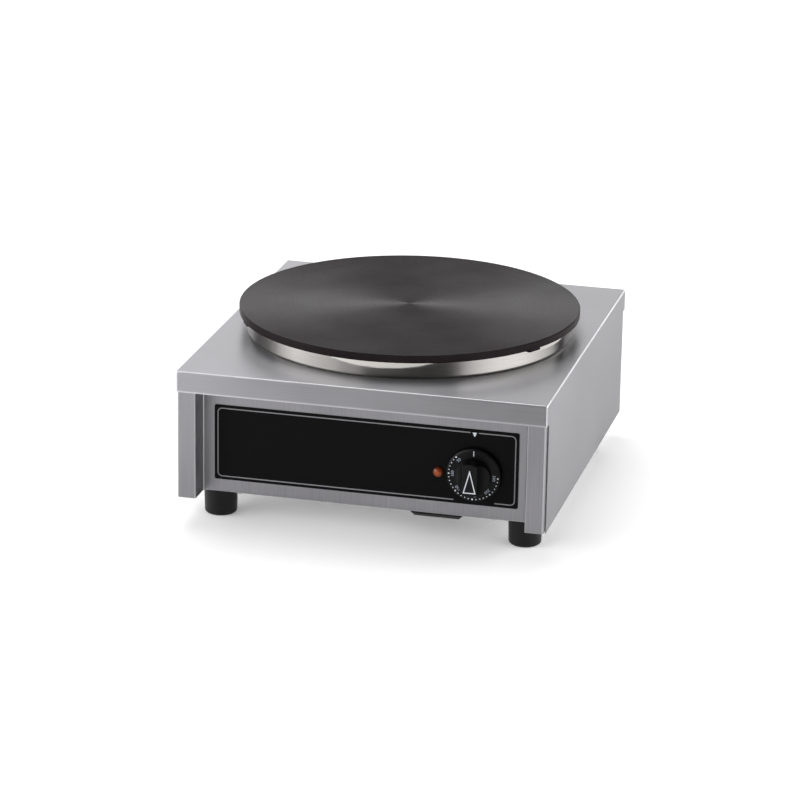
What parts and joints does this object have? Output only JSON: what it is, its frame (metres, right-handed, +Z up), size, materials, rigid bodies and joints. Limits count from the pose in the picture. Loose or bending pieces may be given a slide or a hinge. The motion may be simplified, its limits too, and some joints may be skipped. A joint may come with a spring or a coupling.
{
  "type": "electric crepe maker",
  "caption": "Round cast-iron griddle on a square folded stainless housing with a recessed front panel, a thermostat dial, a lamp and levelling feet.",
  "frame": {"origin": "centre of the housing's footprint, at the level that the feet stand on", "axes": "+Z up, front with the controls towards -Y, +X to the right seen from the front"},
  "size_m": [0.43, 0.462, 0.219],
  "materials": {
    "stainless_brushed": "brushed, one direction",
    "stainless_base": "mill finish",
    "stainless_polished": "polished",
    "seasoned_iron": "turned and seasoned",
    "fascia_black": "printed polyester film on a plate, satin",
    "knob_black": "moulded, semi-gloss",
    "moulded_black": "moulded",
    "lamp_amber": "translucent amber",
    "plated_steel": "zinc plated",
    "clamp_steel": "heat-toned",
    "element_sheath": "oxidised",
    "aluminised_sheet": "aluminised",
    "ceramic_fibre": "needled blanket",
    "control_body": "phenolic",
    "copper_capillary": "copper",
    "ceramic_white": "steatite",
    "button_red": "moulded",
    "brass_terminal": "plain brass"
  },
  "bodies": {
    "housing": {"top_cover": "stainless_brushed", "front_panel": "stainless_brushed", "rear_panel": "stainless_brushed", "base_plate": "stainless_base", "control_fascia": "fascia_black", "griddle_plate": "seasoned_iron", "plate_belt": "stainless_polished", "support_pillars": "plated_steel", "pillar_bolts": "plated_steel", "heating_element_inner": "element_sheath", "heating_element_middle": "element_sheath", "heating_element_outer": "element_sheath", "clamp_bars": "clamp_steel", "clamp_studs": "plated_steel", "clamp_nuts": "plated_steel", "insulation_blanket": "ceramic_fibre", "heat_shield": "aluminised_sheet", "thermostat_body": "control_body", "thermostat_screws": "plated_steel", "thermostat_feeler": "copper_capillary", "lamp_lens": "lamp_amber", "lamp_body": "moulded_black", "lamp_nut": "moulded_black", "safety_cutout": "control_body", "cutout_feeler": "copper_capillary", "underside_cover": "moulded_black", "cover_screws": "plated_steel", "base_screws": "plated_steel", "terminal_block": "ceramic_white", "gland_body": "moulded_black", "gland_cap": "moulded_black", "gland_nut": "moulded_black", "bonding_stud": "brass_terminal", "bonding_nuts": "brass_terminal", "foot_nuts": "plated_steel"},
    "dial": {"thermostat_knob": "knob_black", "thermostat_spindle": "plated_steel"},
    "reset": {"reset_button": "button_red"},
    "levelling_foot_front_left": {"foot_front_left": "moulded_black", "foot_stud_front_left": "plated_steel"},
    "levelling_foot_front_right": {"foot_front_right": "moulded_black", "foot_stud_front_right": "plated_steel"},
    "levelling_foot_rear_left": {"foot_rear_left": "moulded_black", "foot_stud_rear_left": "plated_steel"},
    "levelling_foot_rear_right": {"foot_rear_right": "moulded_black", "foot_stud_rear_right": "plated_steel"}
  },
  "joints": [
    {"name": "dial_turn", "type": "hinge", "parent": "housing", "child": "dial", "pos_m": [0.1275, -0.208, 0.0895], "axis": [0, 1, 0], "range_deg": [0, 264]},
    {"name": "reset_press", "type": "slide", "parent": "housing", "child": "reset", "axis": [0, 0, 1], "range_m": [0, 0.0015], "stiffness_N_per_m": 600, "springref_m": -0.0015},
    {"name": "foot_level_front_left", "type": "slide", "parent": "housing", "child": "levelling_foot_front_left", "axis": [0, 0, -1], "range_m": [0, 0.008]},
    {"name": "foot_level_front_right", "type": "slide", "parent": "housing", "child": "levelling_foot_front_right", "axis": [0, 0, -1], "range_m": [0, 0.008]},
    {"name": "foot_level_rear_left", "type": "slide", "parent": "housing", "child": "levelling_foot_rear_left", "axis": [0, 0, -1], "range_m": [0, 0.008]},
    {"name": "foot_level_rear_right", "type": "slide", "parent": "housing", "child": "levelling_foot_rear_right", "axis": [0, 0, -1], "range_m": [0, 0.008]}
  ]
}
